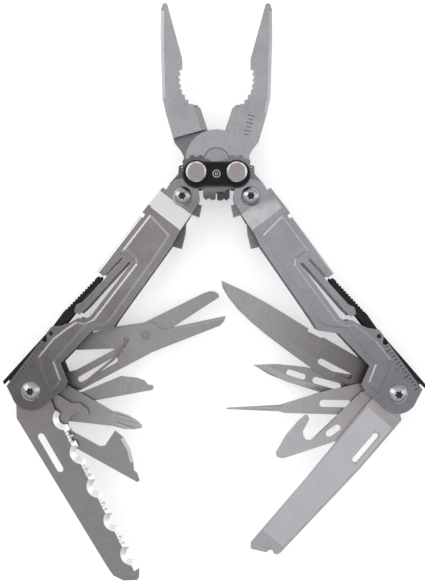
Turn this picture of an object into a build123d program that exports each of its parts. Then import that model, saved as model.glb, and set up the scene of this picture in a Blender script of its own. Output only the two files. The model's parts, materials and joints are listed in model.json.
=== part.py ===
"""Pocket multi tool with opened handles. It lies flat: X to the right, Y towards the jaws, +Z its front face."""

import math
import os

from build123d import *

# ---------------------------------------------------------------- driving dimensions, millimetres and degrees
HALF_DEPTH = 9.6  # from the middle plane to the tallest screw and stud heads
MAIN_PIVOT = (1.0, 51.4)  # the jaws' pivot
STUD_OFFSET = (8.1, -5.2)  # a gear stud, from the main pivot
FOLD_OFFSET = (13.8, -14.6)  # a handle's fold screw, from the main pivot
HANDLE_LENGTH = 99.0  # fold screw to tool axle
HANDLE_ANGLE = {"left": 37.7, "right": 36.5}  # handle from the vertical

LAP = 3.2  # half of the jaws' thickness at the hub
GAP = 0.1  # between sliding faces
CHEEK_TOP = 4.9  # outer face of the toothed cheeks and of the handle ends
LINK_BOTTOM, LINK_TOP = 5.0, 6.4
SHELL_INNER, SHELL_OUTER, PANEL_TOP = 6.4, 7.6, 8.1
PANEL_TAPER = 52  # lean of the raised panel's sides, from upright

HUB_RADIUS = 12.6
JAW_TEETH, PINION_TEETH = 20, 11
CHEEK_TEETH = 16
STUD_SHANK = 1.6
SLEEVE_RADIUS = 2.0
SCREW_SHANK = 1.3
HEAD_RADIUS = 3.9
SLEEVE_CLEARANCE = 0.05
HEAD_RIM = 0.35  # upright rim of a screw head, below its round top
HEAD_FLAT = 0.15  # height taken off the round top
RECESS_RADIUS, RECESS_DEPTH = 1.65, 1.3

STUD_DISTANCE = math.hypot(*STUD_OFFSET)
GEAR_MODULE = 2 * STUD_DISTANCE / (JAW_TEETH + PINION_TEETH)
CHEEK_MODULE = 2 * STUD_OFFSET[0] / CHEEK_TEETH
STUD_BEARING = math.degrees(math.atan2(STUD_OFFSET[1], STUD_OFFSET[0]))

# Front and back of each tool, from the middle plane. No two layers overlap, so the tools pass each other.
LAYERS = {
    "serrated_blade": (5.1, 6.3),
    "file": (3.75, 4.95),
    "can_opener": (2.2, 3.6),
    "hook_cutter": (2.2, 3.6),
    "crosshead_driver": (0.2, 1.6),
    "awl": (0.2, 1.6),
    "medium_driver": (-1.8, -0.4),
    "straight_blade": (-1.8, -0.4),
    "scissor_lever": (-3.5, -2.3),
    "scissor_frame": (-4.8, -3.6),
    "small_blade": (-4.6, -3.2),
}
# Direction of each tool's own X axis, from the row's X axis
TOOL_ANGLE = {
    "scissors": 26.1,
    "medium_driver": 1.5,
    "crosshead_driver": -16.2,
    "can_opener": -39.0,
    "serrated_blade": -65.2,
    "straight_blade": 147.1,
    "small_blade": 168.5,
    "awl": 184.5,
    "hook_cutter": 206.0,
    "file": 229.8,
}


# ---------------------------------------------------------------- shape helpers
def plate(points, bottom, top):
    """A flat plate with a straight-sided outline."""
    return Pos(0, 0, bottom) * extrude(make_face(Polyline(*points, close=True)), amount=top - bottom)


def disc(centre, radius, bottom, top):
    return Pos(centre[0], centre[1], bottom) * extrude(Circle(radius), amount=top - bottom)


def slot(start, end, width, bottom, top):
    """A straight slot with round ends."""
    length = math.dist(start, end)
    turn = math.degrees(math.atan2(end[1] - start[1], end[0] - start[0]))
    middle = ((start[0] + end[0]) / 2, (start[1] + end[1]) / 2)
    shape = extrude(SlotCenterToCenter(length, width), amount=top - bottom)
    return Pos(middle[0], middle[1], bottom) * Rot(0, 0, turn) * shape


def grind(start, end, width, depth, face, facing=1, past=0.0, end_face=None):
    """The metal ground off one face along an edge, with the blade on the left of start to end.

    Where the blade thins along the edge, end_face is the height of its face at the end.
    """
    length = math.dist(start, end) + 2 * past
    along = ((end[0] - start[0]) / math.dist(start, end), (end[1] - start[1]) / math.dist(start, end))
    origin = (start[0] - past * along[0], start[1] - past * along[1], face)
    climb = 0 if end_face is None else (end_face - face) / math.dist(start, end)
    section = Plane(origin=origin, x_dir=(-along[1], along[0], 0), z_dir=(along[0], along[1], climb))
    out = 0.3
    points = [
        (width, 0),
        (0, -depth * facing),
        (-out, -depth * (1 + out / width) * facing),
        (-out, 2 * facing),
        (width, 2 * facing),
    ]
    return extrude(section * make_face(Polyline(*points, close=True)), amount=length)


def polar(centre, radius, degrees):
    angle = math.radians(degrees)
    return (centre[0] + radius * math.cos(angle), centre[1] + radius * math.sin(angle))


def tooth(centre, pitch_radius, module, total, bearing, bottom, top):
    """One straight-flanked gear tooth, thinner than its gap for backlash."""
    half = 90 / total * 0.86
    root, tip = pitch_radius - 1.15 * module, pitch_radius + 0.80 * module
    spread = [(root - 0.4, 1.45), (root, 1.45), (pitch_radius, 1.0), (tip, 0.48)]
    side = [polar(centre, radius, bearing + half * share) for radius, share in spread]
    other = [polar(centre, radius, bearing - half * share) for radius, share in reversed(spread)]
    return plate(side + other, bottom, top)


def teeth(centre, pitch_radius, module, total, bearings, bottom, top):
    return [tooth(centre, pitch_radius, module, total, bearing, bottom, top) for bearing in bearings]


def mirrored(shape):
    """The same shape on the other side of the local X axis."""
    return mirror(shape, about=Plane.XZ)


# ---------------------------------------------------------------- jaws, about the main pivot
# Outline of the right jaw above its hub, from the inside of the hub round the tip to the outside of the hub
JAW_OUTLINE = [
    (0.0, 0.0),
    (3.5, 12.5),
    (6.7, 22.2),
    (9.5, 22.6),
    (14.2, 28.8),
    (13.9, 41.5),
    (19.8, 63.3),
    (20.6, 64.1),
    (21.8, 63.7),
    (22.6, 61.2),
    (22.7, 50.5),
    (21.9, 25.3),
    (20.5, 19.2),
    (17.1, 7.7),
    (14.7, 4.7),
    (13.4, 2.4),
    (13.0, -2.0),
]
# The tail below the pivot, with a wavy end
TAIL_OUTLINE = [
    (-5.4, -6.0),
    (-5.4, -14.6),
    (-4.3, -15.8),
    (-3.1, -15.1),
    (-1.8, -15.9),
    (-0.3, -15.5),
    (-0.3, -13.0),
    (1.6, -12.6),
    (3.6, -13.0),
    (3.6, -6.0),
]
LAP_LINE = [(-20, -30), (30, -30), (30, 5.7), (-20, 19.2)]  # the rear half is cut away below this line
OUTER_EDGE = [(20.5, 19.2), (21.9, 25.3), (22.7, 50.5), (22.6, 61.2)]  # where the bevel starts, bends and ends
NOSE_START, NOSE_END = (30.0, LAP), (66.0, 1.9)  # along the jaw and half thick, where the nose thins
GRIP_CENTRE, GRIP_RADIUS = (0.5, 33.9), 14.0
PIVOT_SHANK, PIVOT_HEAD, PIVOT_HEAD_DEPTH = 3.0, 5.3, 0.8


def nose_height(y):
    """Half the jaw's thickness at y along it."""
    share = (y - NOSE_START[0]) / (NOSE_END[0] - NOSE_START[0])
    return LAP + (NOSE_END[1] - LAP) * max(0, share)


def jaw():
    """The right jaw; the left one is the same piece turned over."""
    body = plate(JAW_OUTLINE, -LAP, LAP)
    hub = disc((0, 0), HUB_RADIUS, 0, LAP) + plate(TAIL_OUTLINE, 0, LAP)
    for side in (1, -1):
        hub -= disc((side * STUD_OFFSET[0], STUD_OFFSET[1]), 5.2, -LAP, LAP)
        body -= disc((side * STUD_OFFSET[0], STUD_OFFSET[1]), 5.2, -LAP, LAP)
    body -= plate(LAP_LINE, -LAP, 0)
    pitch_radius = GEAR_MODULE * JAW_TEETH / 2
    gear = disc((0, 0), pitch_radius - 1.15 * GEAR_MODULE, 0, LAP)
    step = 360 / JAW_TEETH
    bearings = [STUD_BEARING + step * i for i in (-2, -1, 0, 1, 2)]
    for each in teeth((0, 0), pitch_radius, GEAR_MODULE, JAW_TEETH, bearings, 0, LAP):
        gear += each
    body = body + hub + gear
    body -= disc((0, 0), PIVOT_SHANK + SLEEVE_CLEARANCE, -LAP, LAP)
    body -= disc((0, 0), PIVOT_HEAD + SLEEVE_CLEARANCE, LAP - PIVOT_HEAD_DEPTH, LAP)
    body -= plate(LAP_LINE, -LAP, GAP / 2)
    # coarse teeth of the pipe grip, fine teeth of the nose
    body -= disc(GRIP_CENTRE, GRIP_RADIUS - 0.4, -LAP, LAP)
    for i in range(7):
        body -= disc(polar(GRIP_CENTRE, GRIP_RADIUS, -45 + 9.4 * i), 1.2, -LAP, LAP)
    nose_start, nose_end = (14.0, 42.2), (19.8, 62.9)
    length = math.dist(nose_start, nose_end)
    count = 22
    for i in range(count):
        share = (i + 0.5) / count
        x = nose_start[0] + (nose_end[0] - nose_start[0]) * share
        y = nose_start[1] + (nose_end[1] - nose_start[1]) * share
        half = 0.4 * length / count
        groove = [(-0.6, -half - 0.2), (0.42, 0), (-0.6, half + 0.2)]
        body -= Pos(x, y, 0) * Rot(0, 0, -15.4) * plate(groove, -LAP, LAP)
    # the nose thins towards its tip, its outer edge is bevelled and the wire cutter is ground to an edge
    for face in (1, -1):
        corners = [(NOSE_START[0], LAP), (NOSE_END[0], NOSE_END[1]), (NOSE_END[0], 5), (NOSE_START[0], 5)]
        side_view = Polyline(*[(y, z * face) for y, z in corners], close=True)
        body -= extrude(Plane.YZ * make_face(side_view), amount=30)
        for start, end in zip(OUTER_EDGE, OUTER_EDGE[1:]):
            heights = [nose_height(start[1]) * face, nose_height(end[1]) * face]
            body -= grind(start, end, 1.3, 0.9, heights[0], face, past=0.15, end_face=heights[1])
        body -= grind((6.7, 22.2), (3.5, 12.5), 2.6, 2.6, LAP * face, face, past=0.4)
    return body


def jaw_pivot():
    shank = disc((0, 0), PIVOT_SHANK, -LAP, LAP)
    for face in (1, -1):
        low = min((LAP - PIVOT_HEAD_DEPTH) * face, LAP * face)
        shank += disc((0, 0), PIVOT_HEAD, low, low + PIVOT_HEAD_DEPTH)
    return shank


# ---------------------------------------------------------------- link plates and studs, about the main pivot
def link_plate():
    """The front link plate; the rear one is the same piece turned over."""
    body = plate([(-8.1, -0.8), (8.1, -0.8), (8.1, -10.6), (-8.1, -10.6)], LINK_BOTTOM, LINK_TOP)
    for side in (1, -1):
        body += disc((side * STUD_OFFSET[0], -5.7), 5.6, LINK_BOTTOM, LINK_TOP)
    body = chamfer(body.faces().sort_by(Axis.Z)[-1].edges(), 0.35)
    for side in (1, -1):
        body -= disc((side * STUD_OFFSET[0], STUD_OFFSET[1]), STUD_SHANK + 0.02, LINK_BOTTOM, LINK_TOP)
    return body


def stud():
    """One gear stud, the same at both ends."""
    body = disc((0, 0), STUD_SHANK, -LINK_TOP, LINK_TOP)
    for face in (1, -1):
        low = min(LINK_TOP * face, HALF_DEPTH * face)
        head = disc((0, 0), 4.1, low, low + HALF_DEPTH - LINK_TOP)
        rim = head.faces().sort_by(Axis.Z)[-1 if face > 0 else 0].edges()
        body += chamfer(rim, 0.7)
    return body


# ---------------------------------------------------------------- gear arms, about the main pivot
ARM_OUTLINE = [
    (15.2, -2.0),
    (15.5, -5.5),
    (18.9, -9.2),
    (20.2, -13.6),
    (18.6, -19.6),
    (17.6, -23.8),
    (18.2, -34.6),
    (14.1, -35.7),
    (12.6, -29.6),
    (12.2, -24.2),
    (10.8, -21.4),
    (6.9, -22.8),
    (5.9, -18.2),
    (8.8, -17.2),
    (8.2, -12.6),
    (9.4, -9.6),
]
CRIMP_START, CRIMP_END = (5.9, -18.2), (6.9, -22.8)
ARM_SWING_STEPS = (-13, -7, 0, 7, 14)


def turned(shape, centre, degrees):
    """The shape turned about an upright line."""
    return Pos(centre[0], centre[1], 0) * Rot(0, 0, degrees) * Pos(-centre[0], -centre[1], 0) * shape


def arm_core(bottom, top):
    """The right arm's outline, with room for the jaws' hubs over the arm's whole swing."""
    body = plate(ARM_OUTLINE, bottom, top)
    for step in ARM_SWING_STEPS:
        body -= turned(disc((0, 0), HUB_RADIUS + 0.3, bottom, top), STUD_OFFSET, step)
    return body


def arm(meshing_tooth):
    """The right gear arm: a pinion inside its jaw, toothed cheeks outside the jaws, and the fold end."""
    body = arm_core(-LAP, LAP)
    # crimping teeth on the inner edge
    for i in range(5):
        share = (i + 0.5) / 5
        notch = [(-0.5, -0.5), (0.6, 0), (-0.5, 0.5)]
        x = CRIMP_START[0] + (CRIMP_END[0] - CRIMP_START[0]) * share
        y = CRIMP_START[1] + (CRIMP_END[1] - CRIMP_START[1]) * share
        body -= Pos(x, y, 0) * plate(notch, -LAP, LAP)
    pinion_radius = GEAR_MODULE * PINION_TEETH / 2
    pinion = disc(STUD_OFFSET, pinion_radius - 1.15 * GEAR_MODULE, -LAP, LAP)
    step = 360 / PINION_TEETH
    bearings = [STUD_BEARING + 180 + step * (i + 0.5) for i in range(-3, 3)]
    for each in teeth(STUD_OFFSET, pinion_radius, GEAR_MODULE, PINION_TEETH, bearings, -LAP, LAP):
        pinion += each
    cheek = cheek_plate(meshing_tooth)
    body = body + pinion + cheek + mirror(cheek, about=Plane.XY)
    body -= disc(STUD_OFFSET, STUD_SHANK + SLEEVE_CLEARANCE, -CHEEK_TOP, CHEEK_TOP)
    body -= disc(FOLD_OFFSET, SLEEVE_RADIUS + SLEEVE_CLEARANCE, -CHEEK_TOP, CHEEK_TOP)
    return body


def cheek_plate(meshing_tooth):
    """The front toothed cheek of the right arm, with the neck that joins it to the arm."""
    low = LAP
    cheek = disc(STUD_OFFSET, 6.5, low, CHEEK_TOP)
    for i in range(6):
        cheek += disc(polar(STUD_OFFSET, 6.3, -15 + 30 * i), 1.15, low, CHEEK_TOP)
    pitch_radius = CHEEK_MODULE * CHEEK_TEETH / 2
    step = 360 / CHEEK_TEETH
    offsets = (-1, 0, 1) if meshing_tooth else (-1.5, -0.5, 0.5, 1.5)
    bearings = [180 + step * i for i in offsets]
    for each in teeth(STUD_OFFSET, pitch_radius, CHEEK_MODULE, CHEEK_TEETH, bearings, low, CHEEK_TOP):
        cheek += each
    neck = [(8.1, -8.6), (8.1, -2.1), (14.8, -2.2), (15.5, -5.5), (17.0, -7.1), (12.0, -9.6)]
    cheek += plate(neck, low, CHEEK_TOP)
    cheek -= disc(FOLD_OFFSET, 7.1, low, CHEEK_TOP)
    # room for the handle's shoulder as it folds
    bearing = 90 + HANDLE_ANGLE["right"]
    sweep = [FOLD_OFFSET] + [polar(FOLD_OFFSET, 12.0, bearing - angle) for angle in range(26, 137, 22)]
    cheek -= plate(sweep, low, CHEEK_TOP)
    # the cheek stands clear of the jaws' faces beside it
    relief = disc(STUD_OFFSET, 20, low, low + GAP) - disc(STUD_OFFSET, 3.0, low, low + GAP)
    relief -= arm_core(low, low + GAP)
    return cheek - relief


# ---------------------------------------------------------------- handles, X from the tool axle to the fold screw
# Y is the handle's outer side on the left handle. The right handle's pieces are mirror images.
AXLE, FOLD = (0.0, 0.0), (HANDLE_LENGTH, 0.0)
AXLE_END_RADIUS, FOLD_END_RADIUS = 7.8, 7.0
EDGE = 8.4  # the rolled outer edge
RULER_EDGE = 9.0
LOCK_PIN, LOCK_PIN_RADIUS = (23.3, 7.7), 0.9
WALL_BOTTOM = 5.0
TICKS, TICK_PITCH, FIRST_TICK = 14, 25.4 / 16, -2.6  # ruler marks along the handle, from its tool axle
RULER_LINE = 8.2  # where they end, towards the rounded edge

SHELL_OUTLINE = [
    (97.0, 8.5),
    (84.0, 8.5),
    (84.0, 7.0),
    (82.4, 7.0),
    (82.4, EDGE),
    (54.2, EDGE),
    (54.2, 5.2),
    (64.6, 4.1),
    (64.6, 3.1),
    (54.0, 4.1),
    (41.0, 5.4),
    (38.4, 6.7),
    (35.8, 5.6),
    (36.2, 3.4),
    (40.0, 2.7),
    (54.0, 1.7),
    (65.2, 0.7),
    (65.4, -0.4),
    (38.6, -0.5),
    (36.2, 0.4),
    (34.8, 3.0),
    (31.0, 4.6),
    (28.4, 6.2),
    (25.4, 9.3),
    (22.2, 9.3),
    (20.9, 8.0),
    (19.8, 7.0),
    (18.9, 7.6),
    (18.8, RULER_EDGE),
    (-4.2, RULER_EDGE),
    (-7.3, 2.6),
    (-5.6, -5.4),
    (-3.0, -7.2),
    (3.1, -8.5),
    (8.6, -10.0),
    (12.0, -9.4),
    (16.0, -2.5),
    (33.6, -4.5),
    (39.5, -10.5),
    (44.3, -10.1),
    (81.0, -8.9),
    (86.5, -8.0),
    (94.6, -7.4),
    (99.0, -7.0),
]
PANEL_OUTLINE = [
    (85.4, 5.6),
    (83.6, -5.9),
    (71.0, -7.0),
    (41.2, -8.0),
    (39.0, -7.2),
    (33.8, -1.6),
    (15.2, -0.4),
    (11.2, -6.8),
    (8.6, -7.4),
    (4.6, -6.4),
    (9.0, 1.7),
    (12.7, 6.2),
    (22.3, 6.0),
    (28.4, 4.4),
    (33.2, 2.8),
    (35.0, -0.6),
    (38.2, -2.0),
    (66.0, -2.0),
    (67.6, -0.6),
    (67.8, 3.8),
    (66.4, 5.6),
]


def shell_profile():
    """The shell's side view: low at the fold screw, then a ramp up to the main plate."""
    points = [
        (110, LAP + GAP),
        (95.7, LAP + GAP),
        (88.0, SHELL_INNER),
        (-12, SHELL_INNER),
        (-12, SHELL_OUTER),
        (87.6, SHELL_OUTER),
        (95.3, CHEEK_TOP),
        (110, CHEEK_TOP),
    ]
    side = Plane.XZ * make_face(Polyline(*points, close=True))
    return extrude(side, amount=14, both=True)


def rolled_edge():
    """The folded wall along the outer edge, in two lengths, each with a rounded outer corner."""
    walls = []
    for start, end in ((54.2, 82.4), (84.0, 88.0)):
        wall = Box(end - start, 1.4, SHELL_OUTER - WALL_BOTTOM, align=(Align.MIN, Align.MAX, Align.MIN))
        walls.append(Pos(start, EDGE, WALL_BOTTOM) * wall)
    return walls


def handle_shell():
    """The front shell of the left handle."""
    outline = plate(SHELL_OUTLINE, 0, 10) + disc(FOLD, FOLD_END_RADIUS, 0, 10)
    outline += disc(AXLE, AXLE_END_RADIUS, 0, 10)
    body = shell_profile() & outline
    for wall in rolled_edge():
        body += wall
    rounding = []
    for edge in body.edges().filter_by(Axis.X):
        middle = edge @ 0.5
        if abs(middle.Y - EDGE) < 0.01 and abs(middle.Z - SHELL_OUTER) < 0.01 and edge.length > 20:
            rounding.append(edge)
    body = fillet(rounding, 1.1)
    panel_face = make_face(Polyline(*PANEL_OUTLINE, close=True))
    panel = extrude(panel_face, amount=PANEL_TOP - SHELL_OUTER + 0.1, taper=PANEL_TAPER)
    if panel.bounding_box().min.Z < -0.01:
        panel = mirror(panel, about=Plane.XY)
    body += Pos(0, 0, SHELL_OUTER - 0.1) * panel
    body -= disc(AXLE, SLEEVE_RADIUS + 0.02, 0, 10)
    body -= disc(FOLD, SLEEVE_RADIUS + SLEEVE_CLEARANCE, 0, 10)
    body -= disc(LOCK_PIN, LOCK_PIN_RADIUS + 0.02, 0, 10)
    for i in range(TICKS):
        long = 2.6 if i % 8 == 4 else 1.7 if i % 4 == 0 else 1.1
        tick = Box(0.4, long, 0.12, align=(Align.CENTER, Align.MAX, Align.MAX))
        body -= Pos(FIRST_TICK + TICK_PITCH * i, RULER_LINE, SHELL_OUTER) * tick
    return body


def dome(base, top, radius):
    """A round-topped screw head above a short rim, with a six-lobed driver recess."""
    height = top - base
    rise = height + HEAD_FLAT - HEAD_RIM
    ball = (radius**2 + rise**2) / (2 * rise)
    head = disc((0, 0), radius, 0, height) & Pos(0, 0, HEAD_RIM + rise - ball) * Sphere(ball)
    recess = Circle(RECESS_RADIUS - 0.4)
    for i in range(6):
        recess += Pos(*polar((0, 0), RECESS_RADIUS - 0.4, 60 * i)) * Circle(0.4)
    head -= Pos(0, 0, height - RECESS_DEPTH) * extrude(recess, amount=RECESS_DEPTH)
    return Pos(0, 0, base) * head


def screw(base, top, shank_end):
    """A screw with its domed head on the front."""
    return dome(base, top, HEAD_RADIUS) + disc((0, 0), SCREW_SHANK, shank_end, base + 0.1)


def sleeve(base, top, tube_end):
    """The sleeve that the screw enters, with its own domed head on the back."""
    body = mirror(dome(base, top, HEAD_RADIUS), about=Plane.XY)
    body += disc((0, 0), SLEEVE_RADIUS, -base - 0.1, tube_end)
    return body - disc((0, 0), SCREW_SHANK + 0.02, -base + 0.6, tube_end)


def spacers(tools):
    """Washers that fill the axle between the tools of one handle."""
    washers = []
    low = -SHELL_INNER
    for bottom, top in sorted(LAYERS[name] for name in tools) + [(SHELL_INNER, SHELL_INNER)]:
        if bottom - low > 0.4:
            washer = disc(AXLE, 4.5, low + 0.05, bottom - 0.05)
            washers.append(washer - disc(AXLE, SLEEVE_RADIUS + SLEEVE_CLEARANCE, low, bottom))
        low = top
    return Part() + washers


LEVER_OUTLINE = [
    (53.2, 6.5),
    (52.4, 7.0),
    (33.0, 9.2),
    (26.0, 9.0),
    (18.0, 9.6),
    (-3.9, 11.4),
    (-4.6, 10.2),
    (3.0, 8.9),
    (10.0, 7.6),
    (18.0, 6.2),
    (30.0, 5.9),
    (52.6, 5.6),
]
LEVER_INNER, LEVER_OUTER = 5.05, 6.3
LEVER_RIBS = 12


def lock_lever():
    """The rocker that locks the tools: two side plates joined by a web behind the ruler."""
    body = plate(LEVER_OUTLINE, -LEVER_OUTER, LEVER_OUTER)
    body -= plate([(60, 0), (60, 14), (20, 14), (14, 9.9), (-6, 11.0), (-8, 0)], -LEVER_INNER, LEVER_INNER)
    for i in range(LEVER_RIBS):
        x = 35.0 + 1.4 * i
        y = 9.2 - 2.2 * (x - 33.0) / 19.4
        rib = Box(0.6, 0.7, 2 * LEVER_OUTER, align=(Align.CENTER, Align.CENTER, Align.CENTER))
        body -= Pos(x, y, 0) * rib
    return body - disc(LOCK_PIN, LOCK_PIN_RADIUS + SLEEVE_CLEARANCE, -LEVER_OUTER, LEVER_OUTER)


def lock_pin():
    """The lever's two stub pins, one in each shell, clear of the tools between them."""
    front = disc(LOCK_PIN, LOCK_PIN_RADIUS, LEVER_INNER, SHELL_OUTER - 0.3)
    return Part() + [front, rear(front)]


# ---------------------------------------------------------------- tools, about the tool axle
# X runs along the tool, and Y is on its left, seen from the front.
TANG_RADIUS = 6.0


def tool_blank(outline, layer):
    """A flat tool with its round tang and the axle's hole."""
    bottom, top = LAYERS[layer]
    body = plate(outline, bottom, top) + disc((0, 0), TANG_RADIUS, bottom, top)
    return body - disc((0, 0), SLEEVE_RADIUS + SLEEVE_CLEARANCE, bottom, top)


RIVET, RIVET_RADIUS, RIVET_HEAD = (50.3, -0.1), 1.3, 2.2
RIVET_RISE = 0.4  # the rivet's heads above the two blades
SPRING_WIDTH, SPRING_DEPTH = 1.1, 0.3


def scissor_frame():
    """The tang, the two bars of the frame and the upper blade."""
    bottom, top = LAYERS["scissor_frame"]
    outline = [
        (0.0, -6.1),
        (16.7, -8.7),
        (49.2, -7.7),
        (54.8, -4.8),
        (61.0, -2.3),
        (84.3, 0.5),
        (84.7, 1.8),
        (83.8, 3.4),
        (82.0, 4.5),
        (79.2, 4.9),
        (52.3, 4.8),
        (42.0, 3.6),
        (35.8, 0.2),
        (18.4, -0.5),
        (0.0, 4.1),
    ]
    body = tool_blank(outline, "scissor_frame")
    body -= slot((18.4, -4.7), (34.4, -3.8), 2.4, bottom, top)
    body -= grind((61.0, -2.3), (84.3, 0.5), 1.0, 0.8, bottom, -1, past=1)
    return body - disc(RIVET, RIVET_RADIUS + SLEEVE_CLEARANCE, bottom, top)


def scissor_lever():
    """The thumb lever and the lower blade, turning on the rivet."""
    bottom, top = LAYERS["scissor_lever"]
    outline = [
        (22.5, 6.7),
        (36.1, 0.7),
        (39.3, -1.1),
        (40.0, -3.6),
        (43.0, -6.8),
        (49.6, -7.6),
        (79.5, -10.1),
        (82.0, -9.1),
        (83.4, -7.5),
        (59.4, -1.5),
        (56.6, -0.5),
        (55.9, 2.4),
        (53.5, 4.4),
        (39.3, 8.9),
        (25.6, 11.2),
        (20.5, 10.2),
    ]
    body = plate(outline, bottom, top)
    body -= disc((42.5, 1.6), 1.3, bottom, top) + slot((42.5, 1.6), (40.4, -0.5), 1.3, bottom, top)
    body -= grind((83.4, -7.5), (59.4, -1.5), 1.2, 0.8, top, past=1)
    return body - disc(RIVET, RIVET_RADIUS + SLEEVE_CLEARANCE, bottom, top)


def scissor_rivet():
    low, high = LAYERS["scissor_frame"][0], LAYERS["scissor_lever"][1]
    body = disc(RIVET, RIVET_RADIUS, low - RIVET_RISE, high + RIVET_RISE)
    body += disc(RIVET, RIVET_HEAD, low - RIVET_RISE, low)
    return body + disc(RIVET, RIVET_HEAD, high, high + RIVET_RISE)


def scissor_spring():
    """The flat wire spring that opens the scissors: a foot on the frame, and two lengths over the lever."""
    foot, bend, end = (19.0, -6.7), (34.3, -3.2), (42.2, 1.3)
    low = LAYERS["scissor_lever"][1] + 0.05
    high = low + SPRING_DEPTH
    body = slot(foot, bend, SPRING_WIDTH, low, high) + slot(bend, end, SPRING_WIDTH, low, high)
    return body + disc(foot, SPRING_WIDTH / 2, LAYERS["scissor_frame"][1], low)


def medium_driver():
    outline = [
        (0.0, 4.6),
        (-2.0, -5.7),
        (16.9, -6.7),
        (26.0, -5.0),
        (48.3, -1.5),
        (48.8, -0.4),
        (48.3, 0.5),
        (46.5, 0.6),
        (45.0, 2.5),
        (42.1, 3.6),
        (35.4, 4.5),
        (19.4, -1.7),
        (9.3, -0.0),
    ]
    return tool_blank(outline, "medium_driver")


def crosshead_driver():
    """A flat tang that swells into a slim fluted tip."""
    outline = [(0.0, 6.1), (0.0, -6.1), (17.3, -8.2), (35.7, -5.0), (35.7, 0.1), (12.7, 5.7)]
    body = tool_blank(outline, "crosshead_driver")
    bottom, top = LAYERS["crosshead_driver"]
    middle, thick = (bottom + top) / 2, 1.2
    profile = [(32.0, 0), (32.0, 2.0), (35.0, 3.1), (40.0, 3.0), (44.0, 2.0), (46.8, 0.7), (46.9, 0)]
    tip = revolve(make_face(Polyline(*profile, close=True)), axis=Axis.X)
    tip &= Box(120, 8, 2 * thick)
    for turn in (45, 135, 225, 315):
        flute = Cylinder(0.9, 12, rotation=(0, 90, 0))
        tip -= Rot(turn, 0, 0) * Pos(42.5, 0, 2.3) * flute
    return body + Pos(-0.3, -2.1, middle) * tip


def can_opener():
    """The can opener's blade beyond, and the bottle opener's hook near the tang."""
    outline = [
        (0.0, -6.1),
        (28.7, -7.0),
        (56.3, -2.2),
        (56.6, -1.1),
        (53.9, 0.6),
        (52.3, 0.6),
        (49.9, 3.0),
        (45.5, 6.3),
        (40.4, 8.3),
        (36.1, 8.3),
        (36.8, 1.0),
        (35.4, -0.5),
        (23.4, -2.7),
        (20.9, -2.3),
        (18.9, -0.5),
        (18.7, 2.0),
        (19.3, 4.4),
        (21.2, 5.3),
        (23.5, 5.7),
        (23.8, 6.9),
        (22.0, 8.1),
        (18.1, 8.0),
        (15.5, 5.9),
        (5.0, 4.6),
        (0.0, 6.1),
    ]
    body = tool_blank(outline, "can_opener")
    top = LAYERS["can_opener"][1]
    return body - grind((49.9, 3.0), (45.5, 6.3), 1.2, 0.6, top) - grind((45.5, 6.3), (40.4, 8.3), 1.2, 0.6, top)


def scoop(centre, top_radius, bottom_radius, layer):
    """A hollow ground with a tapered wheel, wider at the blade's front face."""
    bottom, top = LAYERS[layer]
    align = (Align.CENTER, Align.CENTER, Align.MIN)
    return Pos(centre[0], centre[1], bottom) * Cone(bottom_radius, top_radius, top - bottom, align=align)


SCALLOPS, SCALLOP_PITCH, FIRST_SCALLOP = 5, 15.15, (15.6, 7.5)
EDGE_RISE = 0.03  # the serrated edge against the blade's axis


def serrated_blade():
    """A blunt-tipped blade with ground scallops, and two small teeth between each pair."""
    outline = [
        (0.0, -6.4),
        (3.0, -8.0),
        (7.4, -9.9),
        (76.2, -2.0),
        (81.0, -1.2),
        (84.5, 1.6),
        (86.7, 6.8),
        (86.0, 7.9),
        (83.0, 9.4),
        (15.0, 7.4),
        (10.6, 5.4),
        (0.0, 6.0),
    ]
    bottom, top = LAYERS["serrated_blade"]
    body = tool_blank(outline, "serrated_blade")
    body -= slot((18.4, -4.1), (33.2, -2.7), 2.8, bottom, top)
    body -= grind((80.0, 9.3), (15.0, 7.4), 2.2, 1.0, top, past=3)
    for i in range(SCALLOPS):
        x = FIRST_SCALLOP[0] + SCALLOP_PITCH * i
        y = FIRST_SCALLOP[1] + EDGE_RISE * SCALLOP_PITCH * i
        body -= scoop((x, y), 4.7, 2.5, "serrated_blade")
        if i < SCALLOPS - 1:
            for shift in (6.2, 8.9):
                body -= scoop((x + shift, y - 0.2), 2.0, 0.9, "serrated_blade")
    return body


def straight_blade():
    outline = [
        (0.0, -6.1),
        (16.4, -4.1),
        (36.5, -3.1),
        (37.1, -2.4),
        (43.2, -1.7),
        (43.8, -2.8),
        (62.9, -2.4),
        (73.8, -1.5),
        (84.3, -0.0),
        (81.9, 2.4),
        (77.9, 4.4),
        (72.4, 6.2),
        (65.0, 7.7),
        (56.0, 8.8),
        (45.0, 9.6),
        (35.6, 10.1),
        (24.5, 10.1),
        (23.6, 8.3),
        (10.9, 7.1),
        (0.0, 6.1),
    ]
    bottom, top = LAYERS["straight_blade"]
    body = tool_blank(outline, "straight_blade")
    body -= slot((19.2, 4.6), (32.0, 5.8), 2.5, bottom, top)
    edge = [(84.3, -0.0), (77.9, 4.4), (65.0, 7.7), (45.0, 9.6), (24.5, 10.1)]
    for start, end in zip(edge, edge[1:]):
        for face, facing in ((top, 1), (bottom, -1)):
            body -= grind(start, end, 4.2, 0.6, face, facing)
    return body


def small_blade():
    outline = [
        (0.0, -6.0),
        (18.4, -3.4),
        (39.1, -2.6),
        (49.2, -1.6),
        (58.8, 0.7),
        (51.6, 3.2),
        (43.6, 4.8),
        (29.8, 6.2),
        (10.6, 6.7),
        (0.0, 6.0),
    ]
    bottom, top = LAYERS["small_blade"]
    body = tool_blank(outline, "small_blade")
    body -= slot((37.7, 1.4), (43.4, 0.8), 2.4, bottom, top)
    body -= slot((22.9, 2.4), (32.1, 1.8), 2.8, bottom, top)
    body -= grind((58.8, 0.7), (43.6, 4.8), 2.4, 0.6, top)
    return body - grind((43.6, 4.8), (29.8, 6.2), 2.4, 0.6, top)


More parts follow.
